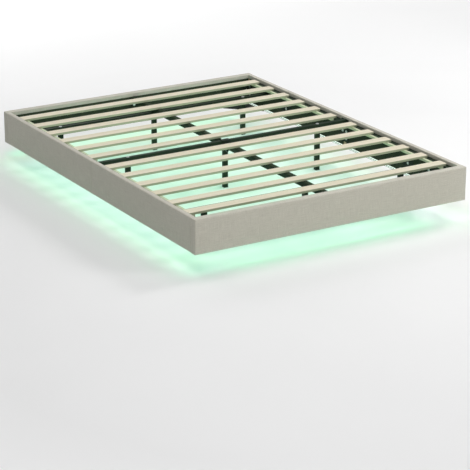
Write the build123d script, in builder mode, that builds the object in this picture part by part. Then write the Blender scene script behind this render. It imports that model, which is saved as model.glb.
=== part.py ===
from build123d import *
import os

os.makedirs("parts", exist_ok=True)

# Whole bed in millimetres, X across it, Y towards the head and Z up from the floor
bed_width = 1600
bed_length = 2130
rail_height = 178
floor_gap = 97

# Padded rails
side_rail_thickness = 27
end_rail_thickness = 42
padding = 5
fabric = 1.5
soft_radius = 14
inner_radius = 4
seam_radius = 2.5
top_lap = 20
end_lap = 12

# Slats, the battens that tie them and the ledges that carry them
slat_count = 12
slat_width = 60
slat_thickness = 13
slat_edge_radius = 2.5
slat_drop = 8
slat_end_gap = 11
middle_slat_gap = 139
outer_slat_gap = 80
batten_width = 15
batten_height = 13
ledge_width = 29.5
ledge_height = 28
ledge_end_gap = 45

# Steel tubes under the slats
tube_wall = 1.5
tube_radius = 3
tube_width = 25
middle_tube_height = 40
end_tube_height = 20
tube_end_gap = 1
beam_width = 30
beam_height = 25
felt_thickness = 4.2
felt_hole_radius = 9
leg_width = 25
leg_cap = 4
side_leg_inset = 185
leg_row_inset = 238

# Plastic feet
glide_height = 5
glide_overhang = 1
glide_stem = 15
glide_chamfer = 1.5

# Pressed steel brackets
plate = 3
bend_radius = 3
plate_corner = 6
pocket_reach = 28
pocket_radius = 8
cheek_height = 15
joint_plate_width = 70
joint_plate_rise = 37
hanger_plate_width = 52
hanger_plate_drop = 28
rail_plate_length = 90
rail_plate_height = 50
rail_plate_spacing = 185
rail_plate_drop = 28
angle_flange = 40
angle_rise = 20
angle_height = 120
gusset_reach = 172
saddle_width = 50
saddle_foot = 45
tongue_height = 22

# Fasteners
bolt_radius = 3
bolt_head_radius = 6.5
bolt_head_height = 4
bolt_length = 18
frame_bolt_radius = 4
frame_bolt_head_radius = 7.5
frame_bolt_head_height = 3.5
frame_bolt_tail = 6
screw_radius = 2
screw_head_radius = 4
screw_head_height = 2
screw_length = 16
screws_per_ledge = 3
ledge_screw_drop = 16
corner_bolt_inset = 18
corner_bolt_rises = (64, 110)
end_bolt_rise = 87
joint_bolt_rises = (58, 98)
pocket_bolt_drop = 14

# Light strip under the rails and its control box
strip_height = 10
strip_depth = 3
strip_rise = 4
box_length = 78
box_height = 26
box_depth = 18
box_rounding = 3
box_offset = 402
box_rise = 40
gland_radius = 4
gland_tip_radius = 2.5
gland_length = 8
ribbon_width = 8
ribbon_thickness = 1.2

# Clearances
fit = 0.3
hole_gap = 0.25

# Places worked out from the sizes above
half_width = bed_width / 2
half_length = bed_length / 2
inner_x = half_width - side_rail_thickness
inner_y = half_length - end_rail_thickness
rail_bottom = floor_gap
rail_top = rail_bottom + rail_height
slat_top = rail_top - slat_drop
slat_bottom = slat_top - slat_thickness
beam_top = slat_bottom - felt_thickness - fit
beam_bottom = beam_top - beam_height
end_tube_top = beam_bottom
end_tube_bottom = end_tube_top - end_tube_height
middle_tube_top = slat_top - frame_bolt_head_height
middle_tube_bottom = middle_tube_top - middle_tube_height
saddle_wall = tube_width / 2 + fit + plate
slats_each_end = slat_count // 2
first_slat = (middle_slat_gap + slat_width) / 2
last_slat = inner_y - outer_slat_gap - slat_width / 2
slat_pitch = (last_slat - first_slat) / (slats_each_end - 1)
side_leg_x = inner_x - side_leg_inset
leg_row_y = inner_y - leg_row_inset
rail_plate_y = leg_row_y - rail_plate_spacing
rail_plate_z = slat_bottom - ledge_height - rail_plate_drop - rail_plate_height / 2
LOW = (Align.CENTER, Align.CENTER, Align.MIN)
CORNER = (Align.MIN, Align.MIN, Align.MIN)


def write(piece, name):
    """Labels a finished piece and writes its file."""
    piece.part.label = name
    export_step(piece.part, f"parts/{name}.step")


def write_quarters(piece, name):
    """Writes a piece of the right rear quarter and its mirror images on the other quarters."""
    for end in ("rear", "front"):
        for side in ("right", "left"):
            with BuildPart() as quarter:
                add(piece.part)
                if side == "left":
                    mirror(about=Plane.YZ, mode=Mode.REPLACE)
                if end == "front":
                    mirror(about=Plane.XZ, mode=Mode.REPLACE)
            write(quarter, f"{side}_{end}_{name}")


def write_ends(piece, head_name, foot_name):
    """Writes a piece of the head end and its mirror image at the foot."""
    write(piece, head_name)
    with BuildPart() as foot:
        add(piece.part)
        mirror(about=Plane.XZ, mode=Mode.REPLACE)
    write(foot, foot_name)


def write_sides(piece, name):
    """Writes a piece of the right side and its mirror image on the left."""
    write(piece, f"right_{name}")
    with BuildPart() as left:
        add(piece.part)
        mirror(about=Plane.YZ, mode=Mode.REPLACE)
    write(left, f"left_{name}")


# Seats of the fasteners, planes that face the way the heads point
def side_seat(y, z):
    """A seat on a bracket of the right rail, facing the middle of the bed."""
    return Plane(origin=(inner_x - plate, y, z), x_dir=(0, -1, 0), z_dir=(-1, 0, 0))


def head_seat(x, z):
    """A seat on a bracket of the head rail, facing the middle of the bed."""
    return Plane(origin=(x, inner_y - plate, z), x_dir=(1, 0, 0), z_dir=(0, -1, 0))


def under_seat(x, y):
    """A seat under a corner gusset, facing the floor."""
    return Plane(origin=(x, y, rail_bottom - plate), x_dir=(1, 0, 0), z_dir=(0, 0, -1))


joint_bolt_y = joint_plate_width / 4
corner_x = inner_x - corner_bolt_inset
corner_y = inner_y - corner_bolt_inset
hanger_bolt_z = end_tube_bottom - plate - pocket_bolt_drop
beam_pocket_bolt_z = beam_bottom - plate - pocket_bolt_drop
joint_seats = [side_seat(joint_bolt_y, rail_bottom + rise) for rise in joint_bolt_rises]
plate_seat = side_seat(rail_plate_y, rail_plate_z)
hanger_seat = side_seat(leg_row_y, hanger_bolt_z)
corner_side_seats = [side_seat(corner_y, rail_bottom + rise) for rise in corner_bolt_rises]
corner_head_seats = [head_seat(x, rail_bottom + end_bolt_rise) for x in (-corner_x, corner_x)]
beam_pocket_seat = head_seat(0, beam_pocket_bolt_z)
side_bolt_seats = [*joint_seats, plate_seat, hanger_seat, *corner_side_seats]
head_bolt_seats = [*corner_head_seats, beam_pocket_seat]

ledge_start = ledge_end_gap
ledge_length = inner_y - 2 * ledge_end_gap
ledge_screw_pitch = ledge_length / screws_per_ledge
ledge_screw_seats = [
    side_seat(ledge_start + (i + 0.5) * ledge_screw_pitch, slat_bottom - ledge_screw_drop)
    for i in range(screws_per_ledge)
]
gusset_x = half_width - soft_radius
gusset_y = half_length - soft_radius
gusset_screw_x = inner_x - gusset_reach / 2
gusset_screw_y = inner_y - gusset_reach / 2
gusset_side_seat = under_seat((gusset_x + inner_x) / 2, gusset_screw_y)
gusset_head_seats = [
    under_seat(x, (gusset_y + inner_y) / 2) for x in (-gusset_screw_x, gusset_screw_x)
]

leg_drill_radius = frame_bolt_radius + hole_gap
saddle_bolt_y = saddle_wall + saddle_foot / 2
saddle_bolt_z = beam_bottom + cheek_height / 2
saddle_cheek_x = beam_width / 2 + fit + plate
tongue_bolt_z = middle_tube_bottom - tongue_height / 2
leg_xs = (-side_leg_x, side_leg_x)
row_ys = (-leg_row_y, leg_row_y)
middle_leg_seats = [Plane((x, 0, middle_tube_top)) for x in leg_xs]
outer_leg_seats = [Plane((x, y, end_tube_top)) for x in leg_xs for y in row_ys]
beam_leg_seats = [Plane((0, y, beam_top)) for y in row_ys]
saddle_beam_seats = [
    Plane(origin=(-saddle_cheek_x, y, saddle_bolt_z), x_dir=(0, 1, 0), z_dir=(-1, 0, 0))
    for y in (-saddle_bolt_y, saddle_bolt_y)
]
saddle_leg_seat = Plane(
    origin=(0, -saddle_wall, tongue_bolt_z), x_dir=(1, 0, 0), z_dir=(0, -1, 0)
)

# Side rail board, a plank with its outer edges rounded over
with BuildPart() as side_board:
    with Locations((inner_x + fabric, fabric, rail_bottom + padding)):
        Box(
            side_rail_thickness - fabric - padding,
            inner_y - 2 * fabric,
            rail_height - 2 * padding,
            align=CORNER,
        )
    fillet(side_board.faces().sort_by(Axis.X)[-1].edges().filter_by(Axis.Y), soft_radius - padding)

with BuildPart() as side_core:
    add(side_board.part)
    with BuildSketch(*side_bolt_seats):
        Circle(bolt_radius + hole_gap)
    extrude(amount=-bolt_length - fit, mode=Mode.SUBTRACT)
    with BuildSketch(*ledge_screw_seats, gusset_side_seat):
        Circle(screw_radius + hole_gap)
    extrude(amount=-screw_length - fit, mode=Mode.SUBTRACT)
write_quarters(side_core, "rail_core")

# Side rail lining, a thin sheet over the inner face, cut square round each bolt and screw
bolt_slit = 2 * (bolt_radius + hole_gap)
screw_slit = 2 * (screw_radius + hole_gap)
with BuildPart() as side_sheet:
    with Locations((inner_x, end_lap, rail_bottom)):
        Box(fabric, inner_y - 2 * end_lap, rail_height - top_lap, align=CORNER)

with BuildPart() as side_lining:
    add(side_sheet.part)
    with BuildSketch(*side_bolt_seats):
        Rectangle(bolt_slit, bolt_slit)
    extrude(amount=-bolt_length, mode=Mode.SUBTRACT)
    with BuildSketch(*ledge_screw_seats):
        Rectangle(screw_slit, screw_slit)
    extrude(amount=-screw_length, mode=Mode.SUBTRACT)
    mirror(about=Plane.XZ)
write_sides(side_lining, "rail_linings")

# Side rail cover, padded fabric round the board with a lap down the inner face
with BuildPart() as side_cover:
    with Locations((inner_x, 0, rail_bottom)):
        Box(side_rail_thickness, inner_y, rail_height, align=CORNER)
    fillet(side_cover.faces().sort_by(Axis.X)[-1].edges().filter_by(Axis.Y), soft_radius)
    fillet(side_cover.faces().sort_by(Axis.X)[0].edges().filter_by(Axis.Y), inner_radius)
    fillet(side_cover.faces().sort_by(Axis.Y)[0].edges(), seam_radius)
    fillet(side_cover.faces().sort_by(Axis.Y)[-1].edges(), seam_radius)
    add(side_board.part, mode=Mode.SUBTRACT)
    add(side_sheet.part, mode=Mode.SUBTRACT)
    with BuildSketch(gusset_side_seat):
        Circle(screw_radius + hole_gap)
    extrude(amount=-screw_length, mode=Mode.SUBTRACT)
write_quarters(side_cover, "rail_cover")

# Head and foot rail boards, the full width of the bed
with BuildPart() as end_board:
    with Locations((0, inner_y + fabric, rail_bottom + padding)):
        Box(
            bed_width - 2 * padding,
            end_rail_thickness - fabric - padding,
            rail_height - 2 * padding,
            align=(Align.CENTER, Align.MIN, Align.MIN),
        )
    fillet(end_board.faces().sort_by(Axis.Y)[-1].edges(), soft_radius - padding)

with BuildPart() as end_core:
    add(end_board.part)
    with BuildSketch(*head_bolt_seats):
        Circle(bolt_radius + hole_gap)
    extrude(amount=-bolt_length - fit, mode=Mode.SUBTRACT)
    with BuildSketch(*gusset_head_seats):
        Circle(screw_radius + hole_gap)
    extrude(amount=-screw_length - fit, mode=Mode.SUBTRACT)
write_ends(end_core, "head_rail_core", "foot_rail_core")

# Head and foot rail linings, between the side rails
with BuildPart() as end_sheet:
    with Locations((0, inner_y, rail_bottom)):
        Box(
            2 * inner_x,
            fabric,
            rail_height - top_lap,
            align=(Align.CENTER, Align.MIN, Align.MIN),
        )

with BuildPart() as end_lining:
    add(end_sheet.part)
    with BuildSketch(*head_bolt_seats):
        Rectangle(bolt_slit, bolt_slit)
    extrude(amount=-bolt_length, mode=Mode.SUBTRACT)
write_ends(end_lining, "head_rail_lining", "foot_rail_lining")

# Head and foot rail covers, rounded at both ends of the rail
with BuildPart() as end_cover:
    with Locations((0, inner_y, rail_bottom)):
        Box(
            bed_width,
            end_rail_thickness,
            rail_height,
            align=(Align.CENTER, Align.MIN, Align.MIN),
        )
    fillet(end_cover.faces().sort_by(Axis.Y)[-1].edges(), soft_radius)
    fillet(end_cover.faces().sort_by(Axis.Y)[0].edges(), inner_radius)
    add(end_board.part, mode=Mode.SUBTRACT)
    add(end_sheet.part, mode=Mode.SUBTRACT)
    with BuildSketch(*gusset_head_seats):
        Circle(screw_radius + hole_gap)
    extrude(amount=-screw_length, mode=Mode.SUBTRACT)
write_ends(end_cover, "head_rail_cover", "foot_rail_cover")

# Slats, numbered from the head, with eased long edges
slat_places = [last_slat - i * slat_pitch for i in range(slats_each_end)]
slat_places += [-place for place in reversed(slat_places)]
for number, place in enumerate(slat_places, 1):
    with BuildPart() as slat:
        with Locations((0, place, slat_bottom)):
            Box(2 * (inner_x - slat_end_gap), slat_width, slat_thickness, align=LOW)
        fillet(slat.edges().filter_by(Axis.X), slat_edge_radius)
    write(slat, f"slat_{number:02d}")

# Battens under the ends of the slats, just inside the ledges
batten_x = inner_x - ledge_width - fit - batten_width
with BuildPart() as batten:
    with Locations((batten_x, first_slat - slat_width / 2, slat_bottom)):
        Box(
            batten_width,
            last_slat - first_slat + slat_width,
            batten_height,
            align=(Align.MIN, Align.MIN, Align.MAX),
        )
    fillet(batten.faces().sort_by(Axis.Z)[0].edges().filter_by(Axis.Y), slat_edge_radius)
    mirror(about=Plane.XZ)
write_sides(batten, "battens")

# Ledges, steel angles along the side rails
with BuildPart() as ledge:
    with BuildSketch(Plane.XZ.offset(-ledge_start)):
        with BuildLine():
            Polyline(
                (inner_x, slat_bottom),
                (inner_x - ledge_width, slat_bottom),
                (inner_x - ledge_width, slat_bottom - plate),
                (inner_x - plate, slat_bottom - plate),
                (inner_x - plate, slat_bottom - ledge_height),
                (inner_x, slat_bottom - ledge_height),
                close=True,
            )
        make_face()
    extrude(amount=-ledge_length)
    fillet(ledge.edges().filter_by(Axis.Y).sort_by(SortBy.DISTANCE)[-1], bend_radius)
    with BuildSketch(*ledge_screw_seats):
        Circle(screw_radius + hole_gap)
    extrude(amount=-screw_length, mode=Mode.SUBTRACT)
    mirror(about=Plane.XZ)
write_sides(ledge, "ledges")


def square_tube(plane, width, height, length):
    """A thin-walled tube with rounded corners, drawn out of a plane."""
    with BuildPart() as tube:
        with BuildSketch(plane):
            RectangleRounded(width, height, tube_radius)
            RectangleRounded(
                width - 2 * tube_wall,
                height - 2 * tube_wall,
                tube_radius - tube_wall,
                mode=Mode.SUBTRACT,
            )
        extrude(amount=length)
    return tube.part


# Middle cross tube, which joins the side rails where their halves meet
cross_half = inner_x - plate - tube_end_gap


def across(y, z):
    """The left end of a cross tube, facing right."""
    return Plane(origin=(-cross_half, y, z), x_dir=(0, 1, 0), z_dir=(1, 0, 0))


middle_z = (middle_tube_top + middle_tube_bottom) / 2
with BuildPart() as middle_cross_tube:
    add(square_tube(across(0, middle_z), tube_width, middle_tube_height, 2 * cross_half))
    with BuildSketch(*middle_leg_seats):
        Circle(leg_drill_radius)
    extrude(amount=-middle_tube_height, mode=Mode.SUBTRACT)
write(middle_cross_tube, "middle_cross_tube")

# Head and foot cross tubes, flatter, so that the centre beams lie on them
end_tube_z = (end_tube_top + end_tube_bottom) / 2
with BuildPart() as end_cross_tube:
    add(square_tube(across(leg_row_y, end_tube_z), tube_width, end_tube_height, 2 * cross_half))
    with BuildSketch(*outer_leg_seats, *beam_leg_seats):
        Circle(leg_drill_radius)
    extrude(amount=-beam_height - end_tube_height, mode=Mode.SUBTRACT)
write_ends(end_cross_tube, "head_cross_tube", "foot_cross_tube")

# Centre beams, from the saddle to a pocket on the end rail
beam_start = saddle_wall + fit
beam_length = inner_y - plate - tube_end_gap - beam_start
beam_plane = Plane(
    origin=(0, beam_start, (beam_top + beam_bottom) / 2), x_dir=(-1, 0, 0), z_dir=(0, 1, 0)
)
with BuildPart() as centre_beam:
    add(square_tube(beam_plane, beam_width, beam_height, beam_length))
    with BuildSketch(*beam_leg_seats):
        Circle(leg_drill_radius)
    extrude(amount=-beam_height, mode=Mode.SUBTRACT)
    with BuildSketch(*saddle_beam_seats):
        Circle(bolt_radius + hole_gap)
    extrude(amount=-2 * saddle_cheek_x, mode=Mode.SUBTRACT)
write_ends(centre_beam, "rear_centre_beam", "front_centre_beam")

# Felt strips on the centre beams, open round the leg bolts
with BuildPart() as felt_strips:
    with Locations((0, saddle_wall + saddle_foot, beam_top)):
        Box(
            beam_width,
            inner_y - plate - tube_end_gap - saddle_wall - saddle_foot,
            felt_thickness,
            align=(Align.CENTER, Align.MIN, Align.MIN),
        )
    with BuildSketch(*beam_leg_seats):
        Circle(felt_hole_radius)
    extrude(amount=felt_thickness, mode=Mode.SUBTRACT)
    mirror(about=Plane.XZ)
write(felt_strips, "beam_felt_strips")


# Legs, square tubes closed by a drilled cap at the top
def leg(x, y, top):
    """A leg under a cross tube, from its foot to the given height."""
    with BuildPart() as made:
        add(square_tube(Plane((x, y, glide_height)), leg_width, leg_width, top - glide_height))
        with Locations((x, y, top)):
            Box(
                leg_width - 2 * tube_wall,
                leg_width - 2 * tube_wall,
                leg_cap,
                align=(Align.CENTER, Align.CENTER, Align.MAX),
            )
            if x or y:
                Cylinder(
                    leg_drill_radius,
                    leg_cap,
                    align=(Align.CENTER, Align.CENTER, Align.MAX),
                    mode=Mode.SUBTRACT,
                )
        if not (x or y):
            with BuildSketch(saddle_leg_seat):
                Circle(bolt_radius + hole_gap)
            extrude(amount=-2 * saddle_wall, mode=Mode.SUBTRACT)
    return made


leg_rows = (
    ("head", leg_row_y, end_tube_bottom),
    ("middle", 0, middle_tube_bottom),
    ("foot", -leg_row_y, end_tube_bottom),
)
leg_columns = (("left", -side_leg_x), ("centre", 0), ("right", side_leg_x))
for row, leg_y, leg_top in leg_rows:
    for column, leg_x in leg_columns:
        write(leg(leg_x, leg_y, leg_top), f"{row}_{column}_leg")

# Feet, plastic glides with a stem up inside each leg
glide_width = leg_width + 2 * glide_overhang
stem_width = leg_width - 2 * (tube_wall + hole_gap)
leg_places = [(x, y) for row, y, top in leg_rows for column, x in leg_columns]
with BuildPart() as leg_glides:
    with BuildSketch() as pads:
        with Locations(*leg_places):
            Rectangle(glide_width, glide_width)
        chamfer(pads.vertices(), tube_radius)
    extrude(amount=glide_height)
    chamfer(leg_glides.faces().group_by(Axis.Z)[0].edges(), glide_chamfer)
    with BuildSketch(Plane.XY.offset(glide_height)) as stems:
        with Locations(*leg_places):
            Rectangle(stem_width, stem_width)
        chamfer(stems.vertices(), tube_radius - tube_wall)
    extrude(amount=glide_stem)
write(leg_glides, "leg_glides")


# Brackets with a pocket that holds the end of a tube
def pocket_bracket(face, held_width, seat, plate_width, plate_bottom, plate_top):
    """A back plate with a shelf and two cheeks, on a plane at a rail's inner face."""
    cheek_top = seat + cheek_height
    pocket_width = held_width + 2 * fit
    with BuildPart() as bracket:
        with BuildSketch(face):
            with Locations((0, (plate_bottom + plate_top) / 2)):
                RectangleRounded(plate_width, plate_top - plate_bottom, plate_corner)
        extrude(amount=plate)
        with BuildSketch(face):
            with Locations((0, (cheek_top + seat - plate) / 2)):
                Rectangle(pocket_width + 2 * plate, cheek_top - seat + plate)
            with Locations((0, (cheek_top + seat) / 2)):
                Rectangle(pocket_width, cheek_top - seat, mode=Mode.SUBTRACT)
        extrude(amount=plate + pocket_reach)
        outward = Axis(face.origin, face.z_dir)
        fillet(bracket.edges().group_by(outward)[-1].group_by(Axis.Z)[-1], pocket_radius)
    return bracket.part


# Joint hangers, which tie the two halves of a side rail and carry the middle cross tube
joint_face = Plane(origin=(inner_x, 0, 0), x_dir=(0, -1, 0), z_dir=(-1, 0, 0))
joint_bottom = rail_bottom + joint_plate_rise
with BuildPart() as joint_hangers:
    add(
        pocket_bracket(
            joint_face, tube_width, middle_tube_bottom, joint_plate_width, joint_bottom, middle_tube_top
        )
    )
    with BuildSketch(*joint_seats):
        Circle(bolt_radius + hole_gap)
    extrude(amount=-plate, mode=Mode.SUBTRACT)
    split(bisect_by=Plane.XZ, keep=Keep.BOTTOM)
    mirror(about=Plane.XZ)
    mirror(about=Plane.YZ)
write(joint_hangers, "joint_hangers")

# Hangers for the head and foot cross tubes
hanger_face = Plane(origin=(inner_x, leg_row_y, 0), x_dir=(0, -1, 0), z_dir=(-1, 0, 0))
hanger_bottom = end_tube_bottom - hanger_plate_drop
with BuildPart() as cross_tube_hangers:
    add(
        pocket_bracket(
            hanger_face, tube_width, end_tube_bottom, hanger_plate_width, hanger_bottom, end_tube_top
        )
    )
    with BuildSketch(hanger_seat):
        Circle(bolt_radius + hole_gap)
    extrude(amount=-plate, mode=Mode.SUBTRACT)
    mirror(about=Plane.YZ)
    mirror(about=Plane.XZ)
write(cross_tube_hangers, "cross_tube_hangers")

# Pockets on the head and foot rails for the ends of the centre beams
beam_face = Plane(origin=(0, inner_y, 0), x_dir=(1, 0, 0), z_dir=(0, -1, 0))
beam_pocket_bottom = beam_bottom - hanger_plate_drop
with BuildPart() as beam_end_brackets:
    add(
        pocket_bracket(
            beam_face, beam_width, beam_bottom, hanger_plate_width, beam_pocket_bottom, beam_top
        )
    )
    with BuildSketch(beam_pocket_seat):
        Circle(bolt_radius + hole_gap)
    extrude(amount=-plate, mode=Mode.SUBTRACT)
    mirror(about=Plane.XZ)
write(beam_end_brackets, "beam_end_brackets")

# Saddle over the middle cross tube, with a pocket for each centre beam and tongues on the leg
tongue_bottom = middle_tube_bottom - tongue_height
saddle_top = middle_tube_top + plate
foot_bottom = beam_bottom - plate
with BuildPart() as centre_saddle:
    with BuildSketch(Plane.YZ.offset(-saddle_width / 2)):
        with Locations((0, (saddle_top + foot_bottom) / 2)):
            Rectangle(2 * saddle_wall, saddle_top - foot_bottom)
        with Locations((0, (beam_bottom + foot_bottom) / 2)):
            Rectangle(2 * (saddle_wall + saddle_foot), plate)
        with Locations((0, (middle_tube_top + foot_bottom) / 2)):
            Rectangle(tube_width + 2 * fit, middle_tube_top - foot_bottom, mode=Mode.SUBTRACT)
    extrude(amount=saddle_width)
    fillet(centre_saddle.edges().filter_by(Axis.X).group_by(Axis.Z)[-1], bend_radius)
    with BuildSketch(Plane.XZ.offset(-saddle_wall - saddle_foot)):
        with Locations((0, (foot_bottom + beam_bottom + cheek_height) / 2)):
            Rectangle(2 * saddle_cheek_x, cheek_height + plate)
        with Locations((0, beam_bottom + cheek_height / 2)):
            Rectangle(beam_width + 2 * fit, cheek_height, mode=Mode.SUBTRACT)
    extrude(amount=saddle_foot)
    with BuildSketch(Plane.XZ.offset(-saddle_wall)):
        with Locations((0, (foot_bottom + tongue_bottom) / 2)):
            Rectangle(leg_width, foot_bottom - tongue_bottom)
    extrude(amount=plate)
    with BuildSketch(*saddle_beam_seats):
        Circle(bolt_radius + hole_gap)
    extrude(amount=-2 * saddle_cheek_x, mode=Mode.SUBTRACT)
    split(bisect_by=Plane.XZ, keep=Keep.BOTTOM)
    mirror(about=Plane.XZ)
    with BuildSketch(saddle_leg_seat):
        Circle(bolt_radius + hole_gap)
    extrude(amount=-2 * saddle_wall, mode=Mode.SUBTRACT)
write(centre_saddle, "centre_saddle")

# Stiffening plates on the side rails
with BuildPart() as rail_plates:
    with BuildSketch(plate_seat):
        RectangleRounded(rail_plate_length, rail_plate_height, plate_corner)
        Circle(bolt_radius + hole_gap, mode=Mode.SUBTRACT)
    extrude(amount=-plate)
    mirror(about=Plane.YZ)
    mirror(about=Plane.XZ)
write(rail_plates, "rail_plates")

# Corner angles, bolted through both rails of a corner
with BuildPart() as corner_angles:
    with BuildSketch(Plane.XY.offset(rail_bottom + angle_rise)):
        with BuildLine():
            Polyline(
                (inner_x, inner_y),
                (inner_x - angle_flange, inner_y),
                (inner_x - angle_flange, inner_y - plate),
                (inner_x - plate, inner_y - plate),
                (inner_x - plate, inner_y - angle_flange),
                (inner_x, inner_y - angle_flange),
                close=True,
            )
        make_face()
    extrude(amount=angle_height)
    fillet(corner_angles.edges().filter_by(Axis.Y).group_by(Axis.X)[0], plate_corner)
    fillet(corner_angles.edges().filter_by(Axis.X).group_by(Axis.Y)[0], plate_corner)
    with BuildSketch(*corner_side_seats, *corner_head_seats):
        Circle(bolt_radius + hole_gap)
    extrude(amount=-plate, mode=Mode.SUBTRACT)
    mirror(about=Plane.YZ)
    mirror(about=Plane.XZ)
write(corner_angles, "corner_angles")

# Corner gussets, screwed up into the undersides of the rails
with BuildPart() as corner_gussets:
    with BuildSketch(Plane.XY.offset(rail_bottom - plate)) as gusset:
        with BuildLine():
            Polyline(
                (gusset_x, gusset_y),
                (inner_x - gusset_reach, gusset_y),
                (inner_x - gusset_reach, inner_y),
                (inner_x, inner_y - gusset_reach),
                (gusset_x, inner_y - gusset_reach),
                close=True,
            )
        make_face()
        fillet(gusset.vertices(), plate)
    extrude(amount=plate)
    with BuildSketch(gusset_side_seat, *gusset_head_seats):
        Circle(screw_radius + hole_gap)
    extrude(amount=-plate, mode=Mode.SUBTRACT)
    mirror(about=Plane.YZ)
    mirror(about=Plane.XZ)
write(corner_gussets, "corner_gussets")


# Fasteners, hexagon heads outside their seats and shanks behind them
def fasteners(seats, head_radius, head_height, shank_radius, length):
    """Bolts or screws of one size, one at each seat."""
    with BuildPart() as made:
        with BuildSketch(*seats):
            RegularPolygon(head_radius, 6)
        extrude(amount=head_height)
        with BuildSketch(*seats):
            Circle(shank_radius)
        extrude(amount=-length)
    return made.part


with BuildPart() as rail_bolts:
    add(fasteners(side_bolt_seats, bolt_head_radius, bolt_head_height, bolt_radius, bolt_length))
    mirror(about=Plane.YZ)
    add(fasteners(head_bolt_seats, bolt_head_radius, bolt_head_height, bolt_radius, bolt_length))
    mirror(about=Plane.XZ)
write(rail_bolts, "rail_bolts")

cap_grip = leg_cap + frame_bolt_tail
leg_bolt_groups = (
    (outer_leg_seats, end_tube_height + cap_grip),
    (middle_leg_seats, middle_tube_height + cap_grip),
    (beam_leg_seats, beam_height + end_tube_height + cap_grip),
)
with BuildPart() as frame_bolts:
    for seats, grip in leg_bolt_groups:
        add(fasteners(seats, frame_bolt_head_radius, frame_bolt_head_height, frame_bolt_radius, grip))
    add(fasteners(saddle_beam_seats, bolt_head_radius, bolt_head_height, bolt_radius, 2 * saddle_cheek_x))
    add(fasteners([saddle_leg_seat], bolt_head_radius, bolt_head_height, bolt_radius, 2 * saddle_wall))
write(frame_bolts, "frame_bolts")

with BuildPart() as rail_screws:
    add(
        fasteners(
            [*ledge_screw_seats, gusset_side_seat, *gusset_head_seats],
            screw_head_radius,
            screw_head_height,
            screw_radius,
            screw_length,
        )
    )
    mirror(about=Plane.YZ)
    mirror(about=Plane.XZ)
write(rail_screws, "rail_screws")

# Light strips along the foot of the rails' inner faces
strip_bottom = rail_bottom + strip_rise
strip_x = inner_x - strip_depth / 2
strip_y = inner_y - strip_depth / 2
with BuildPart() as led_strips:
    with Locations((-strip_x, 0, strip_bottom), (strip_x, 0, strip_bottom)):
        Box(strip_depth, 2 * (inner_y - strip_depth - fit), strip_height, align=LOW)
    with Locations((0, -strip_y, strip_bottom), (0, strip_y, strip_bottom)):
        Box(2 * inner_x, strip_depth, strip_height, align=LOW)
write(led_strips, "led_strips")

# Control box on the head rail, with a gland for its supply and a ribbon down to the strip
box_bottom = rail_bottom + box_rise
gland_plane = Plane(
    origin=(-box_offset - box_length / 2, inner_y - box_depth / 2, box_bottom + box_height / 2),
    x_dir=(0, 1, 0),
    z_dir=(-1, 0, 0),
)
with BuildPart() as led_controller:
    with Locations((-box_offset, inner_y, box_bottom)):
        Box(box_length, box_depth, box_height, align=(Align.CENTER, Align.MAX, Align.MIN))
    fillet(led_controller.faces().sort_by(Axis.Y)[0].edges(), box_rounding)
    with Locations(gland_plane):
        Cone(gland_radius, gland_tip_radius, gland_length, align=LOW)
    with Locations((-box_offset, inner_y, box_bottom)):
        Box(
            ribbon_width,
            ribbon_thickness,
            box_rise - strip_rise - strip_height,
            align=(Align.CENTER, Align.MAX, Align.MAX),
        )
write(led_controller, "led_controller")
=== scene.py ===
import math

import bmesh
import bpy
import numpy as np
from mathutils import Matrix, Vector


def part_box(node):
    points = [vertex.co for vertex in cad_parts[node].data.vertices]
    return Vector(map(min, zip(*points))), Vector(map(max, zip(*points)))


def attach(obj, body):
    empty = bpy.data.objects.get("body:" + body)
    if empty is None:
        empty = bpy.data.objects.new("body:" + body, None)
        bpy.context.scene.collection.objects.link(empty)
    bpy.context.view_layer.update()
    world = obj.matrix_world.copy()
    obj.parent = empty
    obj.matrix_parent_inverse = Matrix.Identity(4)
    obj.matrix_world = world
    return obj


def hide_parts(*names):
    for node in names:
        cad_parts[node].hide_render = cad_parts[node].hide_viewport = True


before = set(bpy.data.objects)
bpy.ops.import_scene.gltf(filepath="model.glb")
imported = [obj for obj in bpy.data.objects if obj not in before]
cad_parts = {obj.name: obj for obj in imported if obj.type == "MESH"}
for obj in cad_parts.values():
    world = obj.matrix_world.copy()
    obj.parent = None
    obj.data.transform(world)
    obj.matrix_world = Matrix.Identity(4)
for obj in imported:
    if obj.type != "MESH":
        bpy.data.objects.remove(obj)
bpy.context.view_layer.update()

# Sizes read from the frame, in metres
SIDE_LOW, SIDE_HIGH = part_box("right_rear_rail_cover")
END_LOW, END_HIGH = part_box("head_rail_cover")
STRIP_LOW, STRIP_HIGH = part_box("led_strips")
INNER_X, HALF_WIDTH = SIDE_LOW.x, SIDE_HIGH.x
INNER_Y, HALF_LENGTH = END_LOW.y, END_HIGH.y
RAIL_BOTTOM, RAIL_TOP = END_LOW.z, END_HIGH.z
RAIL_HEIGHT = RAIL_TOP - RAIL_BOTTOM
LAP = RAIL_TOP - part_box("head_rail_lining")[1].z
LINING_HEIGHT = RAIL_TOP - LAP - RAIL_BOTTOM
LINING_GAP = INNER_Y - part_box("right_rail_linings")[1].y
STRIP_MIDDLE = (STRIP_LOW.z + STRIP_HIGH.z) / 2
LEG_ROW_Y = float(np.mean([corner.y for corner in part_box("head_centre_leg")]))

# Names of the bed's sides, of a side rail's halves and of its ends, each with its axis's sign
SIDES = (("right", 1), ("left", -1))
HALVES = (("rear", 1), ("front", -1))
ENDS = (("head", 1), ("foot", -1))

# Where each kind of piece starts its random draws
SIDE_RAIL_SEED, END_RAIL_SEED, SIDE_LINING_SEED, END_LINING_SEED, FELT_SEED = 11, 31, 51, 71, 91

FULL_CIRCLE = 2 * math.pi
BLACK, WHITE = (0, 0, 0), (1, 1, 1)

# Corners nearer than this are one corner, in metres
SAME_PLACE = 1e-6

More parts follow.
